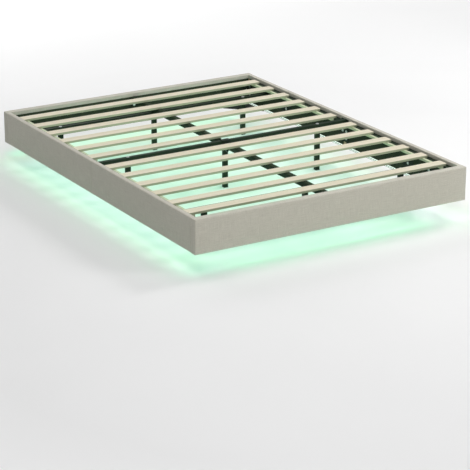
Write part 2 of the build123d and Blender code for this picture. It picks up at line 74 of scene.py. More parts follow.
# The shortest and the longest wave of a ripple, as shares of its wavelength
WAVE_SPREAD = (0.6, 1.7)

# Where a material's nodes stand in its tree
NODE_COLUMN, NODE_TOP, NODE_GAP = -1400, 300, 40


# Meshes
def smoothstep(value, start, end):
    """Rises smoothly from 0 at start to 1 at end."""
    share = np.clip((value - start) / (end - start), 0, 1)
    return share * share * (3 - 2 * share)


def ripple(across, along, seed, wavelength, waves=7):
    """Gentle unevenness: a sum of slanted sine waves of about one wavelength, scaled to stay
    within 1."""
    dice = np.random.default_rng(seed)
    turn = dice.uniform(0, FULL_CIRCLE, waves)
    length = wavelength * dice.uniform(*WAVE_SPREAD, waves)
    phase = dice.uniform(0, FULL_CIRCLE, waves)
    total = np.zeros(np.broadcast(across, along).shape)
    for angle, step, shift in zip(turn, length, phase):
        slant = across * math.cos(angle) + along * math.sin(angle)
        total += np.sin(slant * FULL_CIRCLE / step + shift)
    return total / waves


def put(name, points, faces, uv=None, smooth=True):
    """A mesh object from points and lists of corner numbers, with its own UV map where one is
    given."""
    mesh = bpy.data.meshes.new(name)
    mesh.from_pydata(points.reshape(-1, 3).tolist(), [], faces)
    mesh.polygons.foreach_set("use_smooth", [smooth] * len(mesh.polygons))
    if uv is not None:
        layer = mesh.uv_layers.new(name="cloth")
        layer.data.foreach_set("uv", np.asarray(uv, np.float32).ravel())
    mesh.update()
    made = bpy.data.objects.new(name, mesh)
    bpy.context.scene.collection.objects.link(made)
    return made


def in_bed(start, along_axis, out_axis, u, v, w):
    """Points of the bed from a start: u along one axis, v along another and w upwards."""
    return (
        np.array(start, float)
        + u[..., None] * np.array(along_axis, float)
        + v[..., None] * np.array(out_axis, float)
        + w[..., None] * np.array((0, 0, 1.0))
    )


def face_outwards(made, merge=True):
    """Turns every face outwards, once corners in one place are merged where merge is set."""
    shape = bmesh.new()
    shape.from_mesh(made.data)
    if merge:
        bmesh.ops.remove_doubles(shape, verts=shape.verts, dist=SAME_PLACE)
    bmesh.ops.recalc_face_normals(shape, faces=shape.faces)
    shape.to_mesh(made.data)
    shape.free()
    return made


def ring_faces(rings, around):
    """Quads between neighbouring rings of a closed tube, as corner numbers."""
    row = np.arange(rings - 1)[:, None] * around
    here = np.arange(around)[None, :]
    after = (here + 1) % around
    quads = [row + here, row + after, row + around + after, row + around + here]
    return np.stack(quads, -1).reshape(-1, 4)


def tube(name, points, lengths, girth):
    """A closed skin from rings of points: quads between the rings, and at each end the last ring
    is drawn in to its middle, so that the end is shut. UVs run along the lengths and round the
    girth in metres."""
    rings, around = points.shape[:2]
    drawn = [points]
    corners = ring_faces(rings, around).tolist()
    u = np.stack([lengths[:-1], lengths[:-1], lengths[1:], lengths[1:]], -1)
    edge = np.append(girth, girth[-1] + girth[1])
    v = np.stack([edge[:-1], edge[1:], edge[1:], edge[:-1]], -1)
    uv = [np.stack([np.repeat(u, around, 0), np.tile(v, (rings - 1, 1))], -1).reshape(-1, 2)]
    start = rings * around
    end_corners = around * (4 + 3)  # a quad and a triangle for each point of the ring
    here = np.arange(around)
    after = (here + 1) % around
    for ring, base in ((0, 0), (rings - 1, (rings - 1) * around)):
        middle = points[ring].mean(0)
        drawn += [middle + (points[ring] - middle) * 0.5, middle]
        band = np.stack([base + here, base + after, start + after, start + here], -1)
        fan = np.stack([start + here, start + after, np.full(around, start + around)], -1)
        corners += band.tolist() + fan.tolist()
        end_v = np.resize(girth, end_corners)
        uv.append(np.stack([np.full(end_corners, lengths[ring]), end_v], -1))
        start += around + 1
    flat = np.concatenate([part.reshape(-1, 3) for part in drawn])
    return face_outwards(put(name, flat, corners, np.concatenate(uv)))


# Materials
class Paint:
    """A material's node tree, with short calls for the nodes that the finishes are made of."""

    def __init__(self, name):
        self.material = bpy.data.materials.new(name)
        self.material.use_nodes = True
        self.tree = self.material.node_tree
        self.shader = self.tree.nodes["Principled BSDF"]

    def node(self, kind, inputs=None, **settings):
        """A node with its settings, and its inputs linked or set."""
        made = self.tree.nodes.new(kind)
        made.location = (NODE_COLUMN, NODE_TOP - NODE_GAP * len(self.tree.nodes))
        for key, value in settings.items():
            setattr(made, key, value)
        for key, value in (inputs or {}).items():
            self.link(value, made.inputs[key])
        return made

    def link(self, value, socket):
        """Links an output to a socket, or sets the socket to a number or colour."""
        if isinstance(value, bpy.types.NodeSocket):
            self.tree.links.new(value, socket)
        else:
            socket.default_value = value

    def place(self, scale, uv=False):
        """Object coordinates, or the cloth's own UV map, stretched by a scale along each axis."""
        if uv:
            at = self.node("ShaderNodeUVMap", uv_map="cloth").outputs["UV"]
        else:
            at = self.node("ShaderNodeTexCoord").outputs["Object"]
        return self.node("ShaderNodeMapping", {"Vector": at, "Scale": scale}).outputs["Vector"]

    def noise(self, at, detail=3.0, rough=0.5, distortion=0.0):
        """Noise between 0 and 1, about one feature to each unit of its coordinates."""
        inputs = {"Vector": at, "Scale": 1.0, "Detail": detail, "Roughness": rough}
        inputs["Distortion"] = distortion
        return self.node("ShaderNodeTexNoise", inputs).outputs["Fac"]

    def sum(self, operation, first, second=0.0, third=None):
        """One step of arithmetic."""
        made = self.node("ShaderNodeMath", {0: first, 1: second}, operation=operation)
        if third is not None:
            self.link(third, made.inputs[2])
        return made.outputs[0]

    def weigh(self, *parts):
        """Adds up values, each times its own weight."""
        shares = [self.sum("MULTIPLY", value, weight) for value, weight in parts]
        total = shares[0]
        for share in shares[1:]:
            total = self.sum("ADD", total, share)
        return total

    def ramp(self, factor, *stops):
        """A blend of colours at the given places."""
        made = self.node("ShaderNodeValToRGB", {"Fac": factor})
        band = made.color_ramp.elements
        while len(band) < len(stops):
            band.new(0.5)
        for element, (place, colour) in zip(band, stops):
            element.position = place
            element.color = (*colour, 1)
        return made.outputs["Color"]

    def tint(self, first, second):
        """One colour times another."""
        made = self.node("ShaderNodeMix", data_type="RGBA", blend_type="MULTIPLY")
        colours = [socket for socket in made.inputs if socket.type == "RGBA"]
        self.link(1.0, made.inputs["Factor"])
        self.link(first, colours[0])
        self.link(second, colours[1])
        return next(socket for socket in made.outputs if socket.type == "RGBA")

    def range(self, value, low, high, to_low=0.0, to_high=1.0):
        """Stretches a value from one range to another."""
        inputs = {"Value": value, "From Min": low, "From Max": high}
        inputs.update({"To Min": to_low, "To Max": to_high})
        return self.node("ShaderNodeMapRange", inputs).outputs["Result"]

    def bump(self, height, distance, strength):
        """Raises the surface by a height times a distance in metres."""
        inputs = {"Height": height, "Distance": distance, "Strength": strength}
        return self.node("ShaderNodeBump", inputs).outputs["Normal"]

    def finish(self, colour, normal=None, **sockets):
        """Feeds the shader and returns the material."""
        self.link(colour, self.shader.inputs["Base Color"])
        if normal is not None:
            self.link(normal, self.shader.inputs["Normal"])
        for key, value in sockets.items():
            self.link(value, self.shader.inputs[key.replace("_", " ")])
        return self.material


# Distances from thread to thread in the linen
WARP_PITCH, WEFT_PITCH = 0.0016, 0.0013


def linen():
    """Plain-woven linen look: warp and weft as crossed sine waves, uneven yarns as long streaks of
    noise both ways, slubs, and a fuzzy sheen."""
    paint = Paint("linen_look")
    threads = paint.place((1 / WARP_PITCH, 1 / WEFT_PITCH, 1), uv=True)
    yarns = paint.node("ShaderNodeSeparateXYZ", {0: threads})
    warp = paint.sum("SINE", paint.sum("MULTIPLY", yarns.outputs[0], math.pi))
    weft = paint.sum("SINE", paint.sum("MULTIPLY", yarns.outputs[1], math.pi))
    weave = paint.sum("MULTIPLY_ADD", paint.sum("MULTIPLY", warp, weft), 0.5, 0.5)
    long_streaks = paint.noise(paint.place((14, 420, 1), uv=True), detail=4, rough=0.65)
    cross_streaks = paint.noise(paint.place((420, 16, 1), uv=True), detail=4, rough=0.65)
    slubs = paint.noise(paint.place((260, 260, 1), uv=True), detail=5, rough=0.7)
    tone = paint.weigh((long_streaks, 0.34), (cross_streaks, 0.3), (slubs, 0.3), (weave, 0.06))
    dark, middle, light = (0.422, 0.403, 0.342), (0.536, 0.514, 0.438), (0.65, 0.628, 0.548)
    return paint.finish(
        paint.ramp(tone, (0.36, dark), (0.5, middle), (0.64, light)),
        paint.bump(paint.weigh((weave, 0.6), (tone, 0.8)), 0.0005, 0.8),
        Roughness=0.92,
        Sheen_Weight=0.25,
        Sheen_Roughness=0.5,
        Specular_IOR_Level=0.25,
    )


def lining_cloth():
    """Black spun-bonded lining: fibres as fine noise over a grid of pressed dots."""
    paint = Paint("black_spunbond")
    grid = {"Vector": paint.place((520, 520, 520)), "Scale": 1.0}
    spots = paint.node("ShaderNodeTexVoronoi", grid)
    fibres = paint.noise(paint.place((900, 900, 900)), detail=4, rough=0.7)
    dent = paint.range(spots.outputs["Distance"], 0.1, 0.6)
    # The lining's black is tinted green: painted mint glow from the light strip.
    colour = paint.ramp(fibres, (0.3, (0.017, 0.025, 0.0145)), (0.7, (0.045, 0.062, 0.036)))
    relief = paint.bump(paint.sum("ADD", dent, fibres), 0.0002, 0.5)
    return paint.finish(colour, relief, Roughness=0.85, Specular_IOR_Level=0.2)


# The default tint edge darkens faces turned sideways and tints them green: painted shade and
# painted mint glow.
def pale_wood(name, light, dark, grain=(2.2, 95, 95), edge=(0.57, 0.65, 0.57)):
    """Sawn pale wood: broad bands along its grain, fine dark fibres and short pores. The edges and
    ends, which face sideways, are the flat faces' colour times the tint edge: painted shade with a
    green cast of painted mint glow."""
    paint = Paint(name)
    bands = paint.noise(paint.place(grain), detail=4, rough=0.55, distortion=0.6)
    fibres = paint.noise(paint.place((14, 900, 900)), detail=3, rough=0.6)
    pores = paint.noise(paint.place((70, 1500, 1500)), detail=2, rough=0.5)
    plank = paint.noise(paint.place((0.3, 6.1, 0.3)), detail=1)
    tone = paint.weigh((bands, 0.55), (fibres, 0.25), (plank, 0.2))
    pits = paint.range(pores, 0.3, 0.42, 0.8, 1.0)
    normal = paint.node("ShaderNodeTexCoord").outputs["Normal"]
    facing = paint.node("ShaderNodeSeparateXYZ", {0: normal}).outputs[2]
    # Painted shade with a green cast of painted mint glow: faces turned sideways take the tint
    # edge, flat faces stay as they are.
    painted_side_shade = paint.ramp(paint.sum("ABSOLUTE", facing), (0.5, edge), (0.9, WHITE))
    colour = paint.ramp(tone, (0.36, light), (0.62, dark))
    colour = paint.tint(colour, paint.ramp(pits, (0.0, BLACK), (1.0, WHITE)))
    relief = paint.bump(paint.sum("ADD", fibres, pits), 0.0002, 0.35)
    rough = paint.range(bands, 0.3, 0.7, 0.5, 0.66)
    return paint.finish(paint.tint(colour, painted_side_shade), relief, Roughness=rough, Specular_IOR_Level=0.35)


def powder_coat(name, colour, rough):
    """Powder-coated steel: a fine orange peel, and random patches a little darker or brighter, the
    brighter ones rougher."""
    paint = Paint(name)
    peel = paint.noise(paint.place((420, 420, 420)), detail=2, rough=0.45)
    scuffs = paint.noise(paint.place((9, 40, 40)), detail=5, rough=0.7)
    shade = paint.range(scuffs, 0.35, 0.7, 0.75, 1.5)
    base = paint.ramp(shade, (0.0, BLACK), (1.0, tuple(part * 1.5 for part in colour)))
    gloss = paint.range(scuffs, 0.3, 0.7, rough - 0.06, rough + 0.12)
    relief = paint.bump(peel, 0.00012, 0.4)
    return paint.finish(base, relief, Roughness=gloss, Specular_IOR_Level=0.22)


def felt():
    """Dark brown felt, its colours tinted green as painted mint glow from the light strip: matted
    fibres in every direction.
    """
    paint = Paint("brown_felt_pad")
    fibres = paint.noise(paint.place((600, 600, 600)), detail=5, rough=0.75, distortion=1.5)
    clumps = paint.noise(paint.place((60, 60, 60)), detail=3)
    tone = paint.weigh((fibres, 0.7), (clumps, 0.3))
    # The felt's colours are tinted green: painted mint glow.
    colour = paint.ramp(tone, (0.35, (0.015, 0.024, 0.013)), (0.68, (0.043, 0.067, 0.038)))
    relief = paint.bump(fibres, 0.0006, 0.9)
    return paint.finish(colour, relief, Roughness=0.95, Specular_IOR_Level=0.12)


def moulded_plastic(name, colour):
    """Black moulded plastic with a spark-eroded grain."""
    paint = Paint(name)
    grain = paint.noise(paint.place((1400, 1400, 1400)), detail=2)
    patches = paint.noise(paint.place((40, 40, 40)), detail=3)
    base = paint.ramp(patches, (0.3, colour), (0.75, tuple(part * 1.6 for part in colour)))
    gloss = paint.range(patches, 0.3, 0.7, 0.42, 0.55)
    return paint.finish(base, paint.bump(grain, 0.00008, 0.5), Roughness=gloss)


def zinc():
    """Bright zinc plating with a faint spangle and stains."""
    paint = Paint("zinc_plate")
    spangle = paint.noise(paint.place((700, 700, 700)), detail=3)
    stains = paint.noise(paint.place((90, 90, 90)), detail=4)
    base = paint.ramp(stains, (0.3, (0.5, 0.52, 0.53)), (0.7, (0.72, 0.73, 0.72)))
    gloss = paint.range(spangle, 0.3, 0.7, 0.26, 0.42)
    return paint.finish(base, paint.bump(spangle, 0.00005, 0.4), Roughness=gloss, Metallic=1.0)


def board():
    """Particle board: pressed chips of several browns."""
    paint = Paint("pressed_board")
    grid = {"Vector": paint.place((300, 300, 420)), "Scale": 1.0}
    chips = paint.node("ShaderNodeTexVoronoi", grid)
    dust = paint.noise(paint.place((900, 900, 900)), detail=3)
    shade = paint.node("ShaderNodeSeparateColor", {0: chips.outputs["Color"]}).outputs[0]
    tone = paint.weigh((shade, 0.6), (dust, 0.4))
    base = paint.ramp(tone, (0.2, (0.36, 0.25, 0.15)), (0.8, (0.62, 0.48, 0.32)))
    return paint.finish(base, paint.bump(dust, 0.0003, 0.6), Roughness=0.85)


# The light strip's diodes, and the dark tape's half height where it is darkest and where it ends
DIODES_PER_METRE = 60
TAPE_DARK, TAPE_END = 0.0014, 0.0018


def light_strip():
    """Silicone-covered light strip: an even mint glow, hardly brighter over each diode, with a
    dark line of carrier tape along its middle."""
    paint = Paint("light_strip_glow")
    rows = paint.place((DIODES_PER_METRE, DIODES_PER_METRE, 1))
    at = paint.node("ShaderNodeSeparateXYZ", {0: rows})
    spot = paint.sum("PINGPONG", paint.sum("ADD", at.outputs[0], at.outputs[1]), 0.5)
    glow = paint.range(spot, 0.0, 0.5, 1.02, 0.98)
    from_middle = paint.sum("ABSOLUTE", paint.sum("SUBTRACT", at.outputs[2], STRIP_MIDDLE))
    sleeve = paint.range(from_middle, TAPE_DARK, TAPE_END, 0.03, 1.0)
    return paint.finish(
        paint.ramp(sleeve, (0.03, (0.02, 0.04, 0.03)), (1.0, (0.3, 0.36, 0.33))),
        Roughness=0.5,
        Emission_Color=(0.86, 1.0, 0.9, 1),
        Emission_Strength=paint.sum("MULTIPLY", glow, sleeve),
    )


# The middle of the floor's painted glow, and the distances from it over which that glow turns the
# grey floor white
FLOOR_GLOW_MIDDLE = (0.3, -1.4, 0)
FADE_START, FADE_END = 2.5, 10.2


def pale_floor():
    """Studio floor: pale grey with the faintest unevenness, and a painted glow rising with distance
    from the bed that turns it plain white far off."""
    paint = Paint("studio_floor")
    clouds = paint.noise(paint.place((0.8, 0.8, 0.8)), detail=2)
    spots = {0: paint.place((1, 1, 1)), 1: FLOOR_GLOW_MIDDLE}
    away = paint.node("ShaderNodeVectorMath", spots, operation="DISTANCE").outputs["Value"]
    # Painted light: the floor glows more the further it lies from the middle near the bed.
    return paint.finish(
        paint.ramp(clouds, (0.3, (0.85, 0.85, 0.85)), (0.7, (0.87, 0.87, 0.87))),
        Roughness=0.65,
        Specular_IOR_Level=0.1,
        Emission_Color=(*WHITE, 1),
        Emission_Strength=paint.range(away, FADE_START, FADE_END, 0.0, 0.8),
    )


LINEN = linen()
LINING = lining_cloth()
SLAT_WOOD = pale_wood("pale_slat_board", (0.78, 0.727, 0.585), (0.672, 0.607, 0.459))
# The battens' pale wood is tinted green and darker than the slats': painted mint glow from the
# light strip below and painted shade under the slats.
BATTEN_WOOD = pale_wood(
    "pale_batten_strip", (0.59, 0.67, 0.465), (0.49, 0.53, 0.35), grain=(95, 2.2, 95), edge=WHITE
)
# Both steels' black is tinted green: painted mint glow from the light strip.
STEEL = powder_coat("black_steel_tube", (0.008, 0.0175, 0.008), 0.56)
BRACKETS = powder_coat("black_bracket_steel", (0.006, 0.012, 0.007), 0.6)
FELT = felt()
PLASTIC = moulded_plastic("black_moulding", (0.014, 0.014, 0.015))
ZINC = zinc()
BOARD = board()
GLOW = light_strip()


def dress(material, *names):
    """Gives CAD nodes their finish."""
    for name in names:
        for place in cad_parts[name].material_slots:
            place.material = material


def wear(made, material):
    """Gives a new piece its finish."""
    made.data.materials.append(material)
    return made


# Upholstered rails: roundings of the outer and the inner edges, the inner face's place below the
# hem, and the crown of the outer face and of the top
SOFT, CRISP, LEAST_ROUND = 0.006, 0.003, 0.0008
SET_BACK = 0.0017
CROWN = 0.0011
CROWN_UNEVEN, TOP_CROWN, TOP_UNEVEN = 0.35 * CROWN, 0.5 * CROWN, 0.3 * CROWN
CROWN_FADE, CROWN_WAVE = 0.03, 0.12
OUTER_FROM, UPPER_FROM = 0.6, 0.9

# The hem's fold, as steps outwards from the inner face and up from the hem
HEM_FOLD = ((SET_BACK, -0.0004), (0.0006, -0.0002), (0, 0.0008))

# How far each face is drawn in at a rail's ends: a little at a seam, more at a corner of the bed
SEAM_RADII = {"in": 0.003, "out": 0.003, "up": 0.003}
CORNER_RADII = {"in": CRISP, "out": SOFT, "up": 0.004}

# How closely the rings follow each other, and the points of each part of a ring
RING_STEP, END_RINGS, ARC_POINTS = 0.011, 9, 7
TOP_POINTS, OUTER_POINTS, UNDER_POINTS, INNER_POINTS, LAP_POINTS = 5, 15, 4, 5, 2


def quarter_fall(distance, radius):
    """How far a rounded edge has drawn in at a distance from the end: the sagitta of a quarter
    circle."""
    inside = np.clip(radius - distance, 0, radius)
    return radius - np.sqrt(radius**2 - inside**2)


def line(start, end, count):
    """Evenly spaced points between two corners of every ring, both left out."""
    share = np.linspace(0, 1, count + 2)[1:-1, None]
    return start[:, None] * (1 - share) + end[:, None] * share


def arc(centre_v, centre_w, radius, first, last):
    """A quarter round about a centre in every ring, from one angle to another, in degrees."""
    angle = np.radians(np.linspace(first, last, ARC_POINTS))
    v = centre_v[:, None] + radius[:, None] * np.cos(angle)
    w = centre_w[:, None] + radius[:, None] * np.sin(angle)
    return np.stack([v, w], -1)


def rail_rings(length, thickness, radii, seed):
    """Rings along an upholstered rail. Each ring is a rounded rectangle, soft at the outer corners
    and crisp at the inner ones, drawn in towards the rail's ends by quarter circles, crowned on
    the outer face and the top, and set back on the inner face below the lapped hem."""
    near = SOFT * (1 - np.cos(np.linspace(0, math.pi / 2, END_RINGS)))
    middle = np.linspace(SOFT, length - SOFT, int((length - 2 * SOFT) / RING_STEP))
    along = np.concatenate([near[:-1], middle, (length - near[:-1])[::-1]])
    draw_in, draw_out, draw_up = (
        quarter_fall(along, radii[face]) + quarter_fall(length - along, radii[face])
        for face in ("in", "out", "up")
    )
    low_v, high_v = draw_in, thickness - draw_out
    low_w, high_w = draw_up, RAIL_HEIGHT - draw_up
    soft = np.maximum(SOFT - np.maximum(draw_out, draw_up), LEAST_ROUND)
    crisp = np.maximum(CRISP - np.maximum(draw_in, draw_up / 2), LEAST_ROUND)

    top_in = arc(low_v + crisp, high_w - crisp, crisp, 180, 90)
    top_out = arc(high_v - soft, high_w - soft, soft, 90, 0)
    bottom_out = arc(high_v - soft, low_w + soft, soft, 0, -90)
    bottom_in = arc(low_v + SET_BACK + crisp, low_w + crisp, crisp, -90, -180)
    hem = np.full_like(along, RAIL_HEIGHT - LAP)
    fold = np.stack([np.stack([low_v + out, hem + up], -1) for out, up in HEM_FOLD], 1)
    parts = [
        top_in,
        line(top_in[:, -1], top_out[:, 0], TOP_POINTS),
        top_out,
        line(top_out[:, -1], bottom_out[:, 0], OUTER_POINTS),
        bottom_out,
        line(bottom_out[:, -1], bottom_in[:, 0], UNDER_POINTS),
        bottom_in,
        line(bottom_in[:, -1], fold[:, 0], INNER_POINTS),
        fold,
        line(fold[:, -1], top_in[:, 0], LAP_POINTS),
    ]
    ring = np.concatenate(parts, 1)

    v, w = ring[..., 0], ring[..., 1]
    u = np.broadcast_to(along[:, None], v.shape)
    fade = smoothstep(u, 0, CROWN_FADE) * smoothstep(length - u, 0, CROWN_FADE)
    bulge_out = np.sin(math.pi * np.clip(w / RAIL_HEIGHT, 0, 1))
    bulge_up = np.sin(math.pi * np.clip(v / thickness, 0, 1))
    outer = smoothstep(v, OUTER_FROM * thickness, thickness) * bulge_out
    upper = smoothstep(w, UPPER_FROM * RAIL_HEIGHT, RAIL_HEIGHT) * bulge_up
    uneven = ripple(w, u, seed, CROWN_WAVE)
    v = v + fade * outer * (CROWN + CROWN_UNEVEN * uneven)
    w = w + fade * upper * (TOP_CROWN + TOP_UNEVEN * uneven)
    steps = np.linalg.norm(np.diff(ring[len(along) // 2], axis=0), axis=-1)
    return u, v, w, along, np.append(0, np.cumsum(steps))


def upholstery(name, node, start, along_axis, out_axis, length, thickness, radii, seed):
    """One upholstered rail: rings of its section placed along an axis of the bed."""
    u, v, w, lengths, girth = rail_rings(length, thickness, radii, seed)
    made = tube(name, in_bed(start, along_axis, out_axis, u, v, w), lengths, girth)
    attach(made, "root")
    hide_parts(node)
    return wear(made, LINEN)


for side, sign_x in SIDES:
    for half, sign_y in HALVES:
        upholstery(
            f"{side}_{half}_rail_upholstery",
            f"{side}_{half}_rail_cover",
            start=(sign_x * INNER_X, 0, RAIL_BOTTOM),
            along_axis=(0, sign_y, 0),
            out_axis=(sign_x, 0, 0),
            length=INNER_Y,
            thickness=HALF_WIDTH - INNER_X,
            radii=SEAM_RADII,
            seed=SIDE_RAIL_SEED + 3 * sign_x + sign_y,
        )
for end, sign_y in ENDS:
    upholstery(
        f"{end}_rail_upholstery",
        f"{end}_rail_cover",
        start=(-HALF_WIDTH, sign_y * INNER_Y, RAIL_BOTTOM),
        along_axis=(1, 0, 0),
        out_axis=(0, sign_y, 0),
        length=2 * HALF_WIDTH,
        thickness=HALF_LENGTH - INNER_Y,
        radii=CORNER_RADII,
        seed=END_RAIL_SEED + sign_y,
    )


# Linings, stapled cloth behind the brackets: the steps along and up, the staples and how far the
# cloth draws back between them, its unevenness and its thickness
LINING_STEP, LINING_ROWS = 0.012, 22
STAPLE_PITCH, STAPLE_DRAW, STAPLE_FROM = 0.07, 0.0004, 0.6
LEAST_DEPTH, LINING_UNEVEN, LINING_WAVE = 0.0003, 0.0003, 0.09
LINING_THICKNESS = 0.0004


def lining(name, node, start, along_axis, out_axis, length, seed):
    """A stretched sheet over the rail's inner face, drawn back a little between its staples: its
    depth is a wave from staple to staple, strongest near the hem, and a ripple over all of it."""
    height = LINING_HEIGHT
    along = np.linspace(0, length, int(length / LINING_STEP))
    u, w = np.meshgrid(along, np.linspace(0, height, LINING_ROWS), indexing="ij")
    between = 0.5 - 0.5 * np.cos(u * FULL_CIRCLE / STAPLE_PITCH)
    depth = LEAST_DEPTH + STAPLE_DRAW * between * smoothstep(w, STAPLE_FROM * height, height)
    depth = depth + LINING_UNEVEN * (0.5 + 0.5 * ripple(u, w, seed, LINING_WAVE))
    rows, columns = u.shape
    here = (np.arange(rows - 1)[:, None] * columns + np.arange(columns - 1)[None]).ravel()
    faces = np.stack([here, here + 1, here + columns + 1, here + columns], -1)
    made = put(name, in_bed(start, along_axis, out_axis, u, depth, w), faces.tolist())
    if made.data.polygons[0].normal.dot(Vector(out_axis)) > 0:
        made.data.flip_normals()
    thick = made.modifiers.new("cloth_thickness", "SOLIDIFY")
    thick.thickness = LINING_THICKNESS
    thick.offset = -1
    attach(made, "root")
    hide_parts(node)
    return wear(made, LINING)


for side, sign_x in SIDES:
    for half, sign_y in HALVES:
        lining(
            f"{side}_{half}_lining",
            f"{side}_rail_linings",
            start=(sign_x * INNER_X, sign_y * LINING_GAP, RAIL_BOTTOM),
            along_axis=(0, sign_y, 0),
            out_axis=(sign_x, 0, 0),
            length=INNER_Y - 2 * LINING_GAP,
            seed=SIDE_LINING_SEED + 3 * sign_x + sign_y,
        )
for end, sign_y in ENDS:
    lining(
        f"{end}_lining",
        f"{end}_rail_lining",
        start=(-INNER_X, sign_y * INNER_Y, RAIL_BOTTOM),
        along_axis=(1, 0, 0),
        out_axis=(0, sign_y, 0),
        length=2 * INNER_X,
        seed=END_LINING_SEED + sign_y,
    )


# Solids of a CAD node, one by one
def solids_of(node):
    """Splits a CAD node into its separate solids: triangles that share a corner's place belong
    together, found by handing the lowest number from corner to corner until nothing changes."""
    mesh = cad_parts[node].data
    places = np.empty(len(mesh.vertices) * 3, np.float32)
    mesh.vertices.foreach_get("co", places)
    corners = np.empty(len(mesh.loops), np.int32)
    mesh.loops.foreach_get("vertex_index", corners)
    spots, same = np.unique(np.round(places.reshape(-1, 3), 5), axis=0, return_inverse=True)
    triangles = same.reshape(-1)[corners].reshape(-1, 3)
    label = np.arange(len(spots))
    while True:
        lowest = label[triangles].min(1)
        fresh = label.copy()
        for corner in range(3):
            np.minimum.at(fresh, triangles[:, corner], lowest)
        if (fresh == label).all():
            break
        label = fresh
    return [spots[label == number] for number in np.unique(label)]


# Felt on the centre beams: the steps along a strip and round it, how square its section is, its
# rounded ends, its worn top and the dip over the leg's bolt
FELT_STEP, FELT_COLUMNS, FELT_TURN = 0.008, 24, 0.13
SQUARE_SIDES, SQUARE_TOP = 0.22, 0.35
FELT_END, END_SHARE = 0.002, 0.1
WORN, WORN_WAVE, WORN_FROM = 0.0002, 0.03, 0.6
HOLE_EDGE, HOLE_REACH, HOLE_DEPTH = 0.007, 0.011, 0.75


def squarish(wave, power):
    """A cosine or sine with its sign kept and its size raised to a power, which squares an oval."""
    return np.abs(wave) ** power * np.sign(wave)


def felt_strip(name, low, high, hole, seed):
    """A felt strip: a thin pillow whose section is a flattened oval and whose top is a little
    uneven, with a dip round the leg's bolt."""
    width, length, height = high - low
    along = np.linspace(0, length, int(length / FELT_STEP))
    angle = np.linspace(0, FULL_CIRCLE, FELT_COLUMNS + 1)[:-1] + FELT_TURN
    ends = np.clip(np.minimum(along, length - along) / FELT_END, 0, 1) ** 0.5
    size = (1 - END_SHARE + END_SHARE * ends)[:, None]
    x = (low[0] + high[0]) / 2 + width / 2 * squarish(np.cos(angle), SQUARE_SIDES)[None] * size
    lift = 0.5 * (1 + squarish(np.sin(angle), SQUARE_TOP)[None] * size)
    u = np.broadcast_to(along[:, None], x.shape)
    worn = ripple(x, u, seed, WORN_WAVE) * WORN
    y = np.broadcast_to(low[1] + along[:, None], x.shape)
    dip = 1 - smoothstep(np.hypot(x, y - hole), HOLE_EDGE, HOLE_REACH)
    z = low[2] + height * lift * (1 - HOLE_DEPTH * dip) + worn * (lift > WORN_FROM)
    girth = np.linspace(0, 2 * width, FELT_COLUMNS)
    made = tube(name, np.stack([x, y, z], -1), along, girth)
    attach(made, "root")
    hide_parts("beam_felt_strips")
    return wear(made, FELT)


for spots in solids_of("beam_felt_strips"):
    low, high = spots.min(0), spots.max(0)
    rear = low[1] > 0
    name = f"{'rear' if rear else 'front'}_felt_strip"
    felt_strip(name, low, high, LEG_ROW_Y if rear else -LEG_ROW_Y, FELT_SEED + rear)


# Fasteners. Points further from the axis than this share of the head's radius are on the head.
HEAD_SHARE = 0.75


def fastener_solid(spots):
    """Reads a fastener's seat from its CAD solid: the axis is the longest side, and the head is
    where the points lie far from that axis. Returns the seat, the way the head faces, and the
    head's radius and rise and the shank's radius and length."""
    low, high = spots.min(0), spots.max(0)
    centre = (low + high) / 2
    axis = int(np.argmax(high - low))
    off = np.delete(spots - centre, axis, axis=1)
    radius = np.hypot(off[:, 0], off[:, 1])
    head = radius > HEAD_SHARE * radius.max()
    reach = spots[head, axis]
    way = 1.0 if reach.mean() > centre[axis] else -1.0
    seat = centre.copy()
    seat[axis] = reach.min() if way > 0 else reach.max()
    direction = np.zeros(3)
    direction[axis] = way
    rise = reach.max() - reach.min()
    return seat, direction, radius.max(), rise, radius[~head].max(), (high - low)[axis] - rise


def turned(seat, direction, profile, columns=24):
    """Points, quads and end triangles of a turned piece. Each profile row is (height, radius,
    hexagon share): the row's radius is blended from a circle to a hexagon across its flats. Both
    ends are closed at a pole."""
    angle = np.linspace(0, FULL_CIRCLE, columns + 1)[:-1]
    sixth = math.pi / 6
    flats = math.cos(sixth) / np.cos((angle + sixth) % (math.pi / 3) - sixth)
    rows = np.array(profile)
    radius = rows[:, 1:2] * (1 - rows[:, 2:3] + rows[:, 2:3] * flats[None])
    side = Vector(direction).orthogonal().normalized()
    other = Vector(direction).cross(side)
    ring = np.cos(angle)[:, None] * np.array(side) + np.sin(angle)[:, None] * np.array(other)
    points = seat + rows[:, 0, None, None] * direction + radius[..., None] * ring[None]
    poles = [seat + rows[0, 0] * direction, seat + rows[-1, 0] * direction]
    last = len(rows) * columns
    top = last - columns
    here = np.arange(columns)
    after = (here + 1) % columns
    lower = np.stack([after, here, np.full(columns, last)], -1)
    upper = np.stack([top + here, top + after, np.full(columns, last + 1)], -1)
    all_points = np.concatenate([points.reshape(-1, 3), np.array(poles)])
    return all_points, ring_faces(len(rows), columns), np.concatenate([lower, upper])


def bolt_profile(head, rise, shank, length):
    """A hexagon bolt with a washer: washer, flats, a chamfered crown with a shallow dish, and the
    shank."""
    washer = 0.3 * rise
    flange = 1.2 * head
    return [
        (-length, 0.7 * shank, 0),
        (-length + 0.3 * shank, shank, 0),
        (0, shank, 0),
        (0.0001, flange, 0),
        (washer - 0.0002, flange, 0),
        (washer, 1.16 * head, 0),
        (washer, 0.96 * head, 1),
        (0.8 * rise, 0.98 * head, 1),
        (0.93 * rise, 0.9 * head, 0.6),
        (rise, 0.74 * head, 0),
        (rise - 0.0003, 0.6 * head, 0),
    ]


